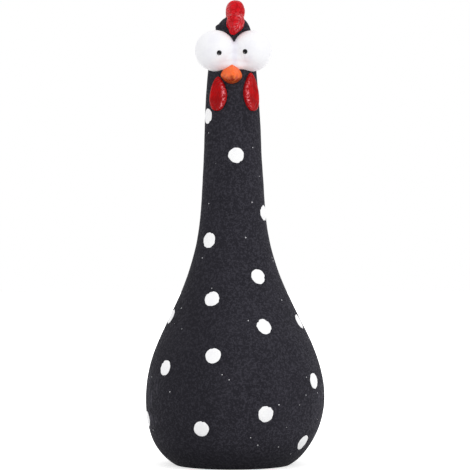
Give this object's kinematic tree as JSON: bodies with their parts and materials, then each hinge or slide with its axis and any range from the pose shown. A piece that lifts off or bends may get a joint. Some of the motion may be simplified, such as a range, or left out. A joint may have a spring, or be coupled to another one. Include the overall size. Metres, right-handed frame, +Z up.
{
  "type": "garden statue",
  "caption": "Slim standing garden ornament of a long-necked spotted hen, a hollow resin casting with glued-on eyes, beak, comb and wattles.",
  "frame": {"origin": "on the floor at the middle of the foot", "axes": "+Z up, the hen faces -Y, +X is the hen's own left side"},
  "size_m": [0.0778, 0.0774, 0.2],
  "materials": {
    "body": "matte sandy charcoal paint on cast resin, with faint lighter brush marks",
    "base": "plain matte charcoal paint",
    "eye_white": "smooth satin white",
    "pupil": "glossy black",
    "beak": "satin orange, redder underneath",
    "comb": "glossy red over modelled grooves",
    "wattle": "glossy deep red",
    "dot": "matte white paint, edges brushed by hand"
  },
  "bodies": {
    "root": {"body_shell": "body", "base_plate": "base", "left_eye": "eye_white", "right_eye": "eye_white", "left_pupil": "pupil", "right_pupil": "pupil", "beak": "beak", "comb": "comb", "left_wattle": "wattle", "right_wattle": "wattle", "dot_01": "dot", "dot_02": "dot", "dot_03": "dot", "dot_04": "dot", "dot_05": "dot", "dot_06": "dot", "dot_07": "dot", "dot_08": "dot", "dot_09": "dot", "dot_10": "dot", "dot_11": "dot", "dot_12": "dot", "dot_13": "dot", "dot_14": "dot", "dot_15": "dot", "dot_16": "dot", "dot_17": "dot", "dot_18": "dot", "dot_19": "dot", "dot_20": "dot", "dot_21": "dot", "dot_22": "dot", "dot_23": "dot", "dot_24": "dot", "dot_25": "dot", "dot_26": "dot", "dot_27": "dot", "dot_28": "dot", "dot_29": "dot", "dot_30": "dot", "dot_31": "dot", "dot_32": "dot"}
  },
  "joints": []
}
